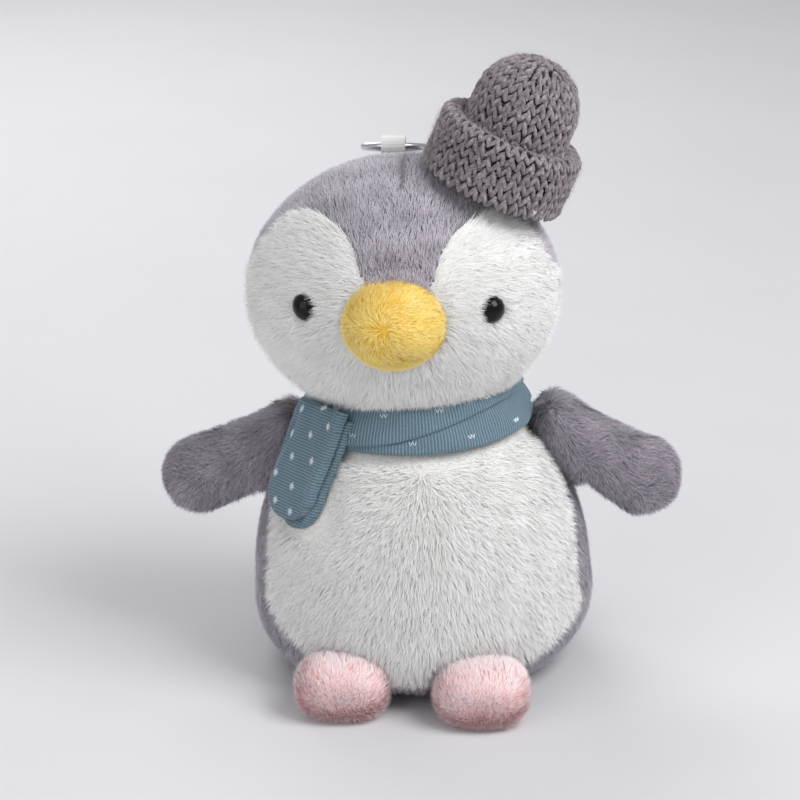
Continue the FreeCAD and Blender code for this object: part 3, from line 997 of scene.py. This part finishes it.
# %% Scarf band
BAND_R, BAND_Z, BAND_LEAN, BODY_LEAN = 21.7, 57.9, math.radians(28), math.radians(-3)
BAND_HALF_HIGH, BAND_HALF_THICK, UPPER_HALF_THICK = 4.7, 1.3, 0.75
LAP_START, LAP_RISE, LAP_FALL = -42, 100, 260
LAP_MIDDLE, LAP_SWING = -0.3, 3.3
TURNS, ROUND = 260, 40


def lap_height(bearing):
    """How high the upper turn's lower edge lies: it slants up, then down again."""
    degrees = (np.degrees(bearing) - LAP_START) % 360
    rising = -np.cos(math.pi * degrees / LAP_RISE)
    falling = np.cos(math.pi * (degrees - LAP_RISE) / LAP_FALL)
    return LAP_MIDDLE + LAP_SWING * np.where(degrees < LAP_RISE, rising, falling)


def flattened(value, power):
    """A sine or cosine drawn towards plus or minus one."""
    return np.sign(value) * np.abs(value) ** power


def band_point(bearing, turn, upper):
    """A point of the lower or the upper turn; bearing from the front, in radians."""
    lap = lap_height(bearing)
    half = (BAND_HALF_HIGH - lap) / 2 + 0.4 if upper else BAND_HALF_HIGH
    middle_rise = (BAND_HALF_HIGH + lap) / 2 if upper else 0.0
    thick = UPPER_HALF_THICK if upper else BAND_HALF_THICK
    rise = middle_rise + half * flattened(np.sin(turn), 0.8)
    out = thick * flattened(np.cos(turn), 0.7)
    wave = 0.2 * np.sin(bearing * 9 + rise * 0.6) + 0.12 * np.sin(bearing * 23 - rise)
    out = out + np.where(np.cos(turn) > 0, wave, 0) + (BAND_HALF_THICK + 0.35 if upper else 0)
    lean_out = BAND_R + out * math.cos(BAND_LEAN) - rise * math.sin(BAND_LEAN)
    height = out * math.sin(BAND_LEAN) + rise * math.cos(BAND_LEAN)
    x, y, z = lean_out * np.sin(bearing), -lean_out * np.cos(bearing), BAND_Z + height
    turned_x = x * math.cos(BODY_LEAN) + z * math.sin(BODY_LEAN)
    turned_z = z * math.cos(BODY_LEAN) - x * math.sin(BODY_LEAN)
    return np.stack([turned_x, y, turned_z], -1), rise


def ring_faces(start):
    """The faces of one turn: a grid closed both ways."""
    made = []
    for i in range(TURNS):
        for j in range(ROUND):
            a, b = i * ROUND + j, i * ROUND + (j + 1) % ROUND
            c, d = (i + 1) % TURNS * ROUND + (j + 1) % ROUND, (i + 1) % TURNS * ROUND + j
            made.append((a + start, d + start, c + start, b + start))
    return made


bearings = np.repeat(np.linspace(-math.pi, math.pi, TURNS, endpoint=False), ROUND)
turns = np.tile(np.linspace(0, 2 * math.pi, ROUND, endpoint=False), TURNS)
low_points, low_rise = band_point(bearings, turns, False)
top_points, top_rise = band_point(bearings, turns, True)
band = new_mesh("scarf_band_cloth", np.concatenate([low_points, top_points]),
                ring_faces(0) + ring_faces(TURNS * ROUND), [band_jersey])
UPPER_SHIFT = 0.3
around_neck = np.concatenate([bearings, bearings + UPPER_SHIFT]) * BAND_R
give_uv(band, around_neck, np.concatenate([low_rise, top_rise]))
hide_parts("scarf_band")
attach(band, "body")


# %% White marks
def stroke(points, faces, centre, way, out, length, wide):
    """One small raised stitch of white yarn, added to a list of points and faces."""
    side = np.cross(way, out)
    start = len(points)
    ends = [(-0.5, 0.3), (-0.2, 1.0), (0.2, 1.0), (0.5, 0.3)]
    for along, share in ends:
        for across, lift in ((-0.5, -0.1), (0.0, 0.22), (0.5, -0.1)):
            sideways = side * across * wide * share
            points.append(centre + way * along * length + sideways + out * lift * share)
    for ring in range(3):
        for k in range(2):
            a = start + ring * 3 + k
            faces.append((a, a + 3, a + 4, a + 1))


def band_marks():
    """Small zigzags in two staggered rows round the band."""
    points, faces = [], []
    for number, degrees in enumerate(range(-30, 341, 15)):
        rise_turn = 0.45 if number % 2 else -0.45
        bearing = math.radians((degrees + 180) % 360 - 180)
        upper = number % 2 == 1 or lap_height(bearing) < -1.5
        place, _ = band_point(bearing, rise_turn, upper)
        ahead, _ = band_point(bearing + 0.01, rise_turn, upper)
        up, _ = band_point(bearing, rise_turn + 0.02, upper)
        along, rising = unit(ahead - place), unit(up - place)
        out = unit(np.cross(along, rising))
        for step in range(4):
            slant = 0.42 if step % 2 else -0.42
            way = unit(rising + along * slant)
            stroke(points, faces, place + along * (step - 1.5) * 0.4 + out * 0.02, way, out, 1.0, 0.22)
    return np.array(points), faces


mark_points, mark_faces = band_marks()
marks = new_mesh("scarf_band_marks", mark_points, mark_faces, [mark_finish.material])
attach(marks, "body")

# %% Scarf ends
TAIL_LONG = 18.0
TAIL_TURN, TAIL_SLOPE = math.radians(-46), math.radians(-20)
TAIL_FRAME = (
    Matrix.Translation((-3, 0, 0)) @ Matrix.Rotation(TAIL_TURN, 4, "Z")
    @ Matrix.Translation((0, -26, 62.5)) @ Matrix.Rotation(TAIL_SLOPE, 4, "X")
)
frame_axes = np.array(TAIL_FRAME)[:3, :3]
frame_start = np.array(TAIL_FRAME)[:3, 3]


def tail_lean(height):
    """How far a scarf end leans to its outer side at a height below the knot."""
    return -0.8 - 2.4 * np.clip(height / -TAIL_LONG, 0, 1)


def tail_shape(obj, narrow, push):
    """Tapers a tongue to its top, curls its rolled edge and lays fine folds in it."""
    places, _ = corners_of(obj)
    local = (places / MM - frame_start) @ frame_axes
    drop = np.clip(local[:, 2] / -TAIL_LONG, 0, 1)
    top = np.clip((local[:, 2] + 3.0) / 8.0, 0, 1)
    across = local[:, 0].copy()
    edge = np.exp(-(((across - 6.2) / 1.1) ** 2))
    front = local[:, 1] < 0.9 + push
    folds = 0.3 * np.sin(across * 1.1 + local[:, 2] * 0.35 + 1.0) * (1 - drop * 0.6)
    long_fold = 0.5 * np.exp(-(((across + 5.0 - local[:, 2] * 0.12) / 0.8) ** 2))
    long_fold = long_fold * np.clip(-local[:, 2] / 6, 0, 1)
    local[:, 1] += np.where(front, -folds * 0.5 - edge * 0.55 + long_fold, 0)
    local[:, 1] += top * 1.8 + 1.1 * np.sin(drop * math.pi) * 0.4
    local[:, 0] = (across - narrow * 2) * (1 - 0.2 * top) * (1 - narrow) + tail_lean(local[:, 2])
    set_corners(obj, (local @ frame_axes.T + frame_start) * MM)
    return local


def star(points, faces, centre, along, rising, out):
    """A small star of four crossed stitches."""
    for k in range(4):
        angle = math.pi * k / 4
        way = along * math.cos(angle) + rising * math.sin(angle)
        stroke(points, faces, centre, way, out, 1.9 if k % 2 == 0 else 1.6, 0.26)


ends = []
for layer, narrow, push in (("front", 0.0, 0.0), ("back", 0.14, 2.3)):
    node = "scarf_end_" + layer
    tail = make_bag("scarf_tail_" + layer, [node], [node], 0.5, 0.25, 3.0, 0.35, smooth=2)
    tail.data.materials.append(tail_jersey)
    local = tail_shape(tail, narrow, push)
    give_uv(tail, local[:, 0], local[:, 2])
    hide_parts(node)
    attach(tail, "scarf_ends")
    ends.append(tail)

STAR_PLACES = [
    (-4.6, -2.5), (1.0, -0.8), (-5.4, -8.2), (0.2, -7.0), (4.4, -4.0), (-2.6, -12.6),
    (3.4, -12.0), (-5.2, -17.0), (0.8, -18.4), (-3.0, -22.4), (2.2, -23.4),
]
front_tree = BVHTree.FromObject(ends[0], bpy.context.evaluated_depsgraph_get())
star_points, star_faces = [], []
for across, down in STAR_PLACES:
    start = Vector(frame_axes @ np.array([across + tail_lean(down), -8.0, down]) + frame_start) * MM
    way = Vector(frame_axes @ np.array([0, 1.0, 0]))
    hit, normal, _, _ = front_tree.ray_cast(start, way)
    if hit is not None:
        out = np.array(normal)
        rising = unit(frame_axes[:, 2] - out * (frame_axes[:, 2] @ out))
        on_cloth = np.array(hit) / MM + out * 0.03
        star(star_points, star_faces, on_cloth, np.cross(rising, out), rising, out)
stars = new_mesh("scarf_tail_marks", star_points, star_faces, [mark_finish.material])
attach(stars, "scarf_ends")

# %% [markdown]
# ## Knitted hat
#
# The hat is hand knitted from thick mottled yarn. A bump pattern would leave its
# outline smooth, so every stitch is a pair of fat slanted loops, made once and
# laid in columns up the cuff, over its rim and up the crown. They lie over a
# near-black bag, which is painted shade in the gaps between the stitches. There
# are some thousand loops, so they are laid by mesh code. A few loose fibres of
# yarn stand between them.

# %% Yarn finish
yarn = Finish("mottled_yarn", card(132, 122, 127), 0.9, Sheen_Weight=0.4)
yarn_place = yarn.place()
yarn_shade = yarn.noise(yarn_place, 1.1, 4.0) * 0.6 + yarn.noise(yarn_place, 4.5, 2.0) * 0.4
yarn.feed("Base Color", yarn.ramp(yarn_shade, [
    (0.3, card(82, 73, 79)), (0.5, card(126, 117, 122)), (0.7, card(190, 180, 185))]))
yarn.relief(yarn.noise(yarn_place, 6.0, 2.0), 0.25, 0.9)
# The bag under the stitches is near black: painted shade for the gaps between the loops.
stitch_gap_shade = backing("stitch_gap_shade", (26, 20, 24), (44, 37, 41))
FLUFF = pile_tones("yarn_fluff", [(118, 108, 113), (138, 128, 133), (160, 150, 155), (184, 175, 180)])

# %% Hat bag
HAT_SEAT, HAT_TILT, HAT_LIFT = (12.7, -4.0, 103.8), math.radians(23), (-0.6, 0.0, 2.0)
HAT_BASE = Vector(HAT_SEAT) + Vector(HAT_LIFT)
HAT_FRAME = np.array(Matrix.Translation(HAT_BASE) @ Matrix.Rotation(HAT_TILT, 4, "Y"))
HAT_NODES = ["hat_cuff", "hat_dome", "hat_filling"]
hat = make_bag("hat_bag", HAT_NODES, ["hat_cuff", "hat_dome"], 0.9, 1.5, 3.0, 0.2, smooth=1)
stretch(hat, (0, 0, 0), (1, 1, 1), HAT_LIFT)
hat.data.materials.append(stitch_gap_shade)
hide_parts(*HAT_NODES)
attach(hat, "hat")

# %% Stitches
STITCH_WIDE, STITCH_HIGH, YARN_R = 2.2, 2.2, 0.47
STITCH_SLANT, LOOP_BOW = 24, 0.22
CUFF_COLUMNS = 43
CUFF_R, CUFF_INNER_R, CUFF_TOP, RIM_R = 14.8, 11.4, 12.1, 1.7
CROWN_R, CROWN_STRAIGHT = 10.5, 17.4


def cuff_path(way):
    """Radius, height and slope of the cuff at a distance along it."""
    if way < CUFF_TOP - RIM_R:
        return CUFF_R, way, 0.0
    turn = (way - CUFF_TOP + RIM_R) / RIM_R
    if turn < math.pi:
        centre = CUFF_R - RIM_R
        return centre + RIM_R * math.cos(turn), CUFF_TOP - RIM_R + RIM_R * math.sin(turn), turn
    return CUFF_INNER_R, CUFF_TOP - RIM_R - (turn - math.pi) * RIM_R, math.pi


def crown_path(way):
    """Radius, height and slope of the crown at a distance along it."""
    if way < CROWN_STRAIGHT:
        return CROWN_R, way, 0.0
    turn = (way - CROWN_STRAIGHT) / CROWN_R
    return CROWN_R * math.cos(turn), CROWN_STRAIGHT + CROWN_R * math.sin(turn), turn


def loop_shape():
    """One fat yarn loop along Y, closed at both ends, at unit size."""
    points, faces = [(0, -0.5, 0)], []
    rings = [(-0.4, 0.62), (-0.15, 1.0), (0.15, 1.0), (0.4, 0.62)]
    sides = 7
    for y, r in rings:
        for k in range(sides):
            angle = 2 * math.pi * k / sides
            points.append((r * math.cos(angle), y, r * math.sin(angle)))
    points.append((0, 0.5, 0))
    for k in range(sides):
        n = (k + 1) % sides
        faces.append((0, 1 + k, 1 + n))
        faces.append((len(points) - 1, 1 + 3 * sides + n, 1 + 3 * sides + k))
        for ring in range(3):
            a, b = 1 + ring * sides, 1 + (ring + 1) * sides
            faces.append((a + k, b + k, b + n, a + n))
    return np.array(points, float), faces


LOOP_POINTS, LOOP_FACES = loop_shape()


def place_loop(rng, angle, side, columns, radius, height, slope):
    """The points of one loop: the left or right half of a stitch, a little uneven."""
    out_flat = np.array([math.cos(angle), math.sin(angle), 0])
    around = np.array([-math.sin(angle), math.cos(angle), 0])
    up = np.array([0, 0, 1.0])
    out = out_flat * math.cos(slope) + up * math.sin(slope)
    rise = up * math.cos(slope) - out_flat * math.sin(slope)
    pitch = 2 * math.pi * max(radius, 0.6) / columns
    slant = math.radians(STITCH_SLANT + rng.normal() * 7)
    along = unit(rise * math.cos(slant) - around * side * math.sin(slant))
    centre = out_flat * radius + up * height + around * side * pitch * 0.21
    centre = centre + rng.normal(size=3) * 0.11 - out * 0.12
    length = STITCH_HIGH * 1.45 * rng.uniform(0.93, 1.08)
    thick = YARN_R * min(1, pitch / STITCH_WIDE + 0.1) * rng.uniform(0.9, 1.1)
    bow = LOOP_BOW * (1 - (LOOP_POINTS[:, 1] * 2) ** 2)
    shape = (centre + np.outer(LOOP_POINTS[:, 1] * length, along)
             + np.outer(LOOP_POINTS[:, 0] * thick, np.cross(along, out))
             + np.outer(LOOP_POINTS[:, 2] * thick + bow, out))
    return shape @ HAT_FRAME[:3, :3].T + HAT_FRAME[:3, 3]


def clear_of_head(points, head_tree):
    """Whether a loop lies outside the head."""
    spot = Vector(points.mean(0)) * MM
    near, normal, _, _ = head_tree.find_nearest(spot)
    return (spot - near).dot(normal) > 0.2 * MM


def knit(name, path, first, last, columns_at):
    """Columns of paired loops along a path turned round the hat's axis."""
    rng = np.random.default_rng(5)
    head_tree = BVHTree.FromObject(head, bpy.context.evaluated_depsgraph_get())
    points, faces = [], []
    way = first
    while way < last:
        radius, height, slope = path(way)
        columns = columns_at(radius)
        for column in range(columns):
            angle = 2 * math.pi * (column + 0.5) / columns
            for side in (-1, 1):
                placed = place_loop(rng, angle, side, columns, radius, height, slope)
                if clear_of_head(placed, head_tree):
                    base = len(points) * len(LOOP_POINTS)
                    points.append(placed)
                    faces.extend(tuple(base + v for v in face) for face in LOOP_FACES)
        way += STITCH_HIGH
    made = new_mesh(name, np.concatenate(points), faces, [yarn.material])
    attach(made, "hat")
    print(name, len(points), "loops")


def crown_columns(radius):
    """Fewer columns towards the top, as the knitter gathers them."""
    return 30 if radius > 7.5 else 20 if radius > 4.5 else 10 if radius > 2 else 4


knit("hat_cuff_stitches", cuff_path, 0.8, 19.5, lambda radius: CUFF_COLUMNS)
knit("hat_crown_stitches", crown_path, 9.5, 34.0, crown_columns)
every_face = np.ones(len(hat.data.polygons), bool)
plant("hat_fluff", hat, every_face, "hat", FLUFF, all_one_way([0.2, 0, 1.0]),
      density=6, length=2.5, rise=(70, 40), seed=91, swirl=1.2, width=0.06)

# %% [markdown]
# ## Eyes, washers, ribbon and ring
#
# Hard parts keep their CAD shape and only get a finish: black gloss plastic for
# the eyes, matt plastic for the washers behind them, white satin for the ribbon
# and brushed steel for the ring.

# %% Hard parts
def dress(node, finish):
    """Gives a shown CAD node its finish."""
    obj = NODES[node]
    if not obj.material_slots:
        obj.data.materials.append(finish.material)
    for slot in obj.material_slots:
        slot.link = "OBJECT"
        slot.material = finish.material


gloss = Finish("black_gloss", (0.004, 0.004, 0.005), 0.14)
gloss.shader.inputs["Specular IOR Level"].default_value = 0.22
smears = gloss.noise(gloss.place(), 0.7, 3.0)
gloss.feed("Roughness", smears * 0.1 + 0.1)
washer = Finish("washer_plastic", (0.7, 0.7, 0.68), 0.5)
washer.feed("Roughness", washer.noise(washer.place(), 2.0) * 0.3 + 0.35)
for side in ("right", "left"):
    dress("eye_" + side, gloss)
    dress("eye_washer_" + side, washer)

satin = Finish("white_ribbon", card(236, 235, 232), 0.45, Sheen_Weight=0.3)
WEFT_TURNS = 22.0
weft = (satin.node("ShaderNodeSeparateXYZ", None, {0: satin.place()}, out=2) * WEFT_TURNS).sine()
weft_stops = [(0.0, card(214, 213, 212)), (1.0, card(243, 242, 240))]
# The weft's low grooves get the darker white: painted shade that follows the relief.
satin.feed("Base Color", satin.ramp(weft * 0.5 + 0.5, weft_stops))
satin.relief(weft, 0.05, 0.7)
dress("hang_ribbon", satin)

steel = Finish("brushed_steel", (0.62, 0.62, 0.64), 0.28, Metallic=1.0)
brushed = steel.noise(steel.place(), 9.0, 3.0)
steel.feed("Roughness", brushed * 0.25 + 0.18)
dress("hang_ring", steel)

# %% Sizes and end
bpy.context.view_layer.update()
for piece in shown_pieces():
    if "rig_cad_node" not in piece:
        print(piece.name, len(piece.data.vertices))
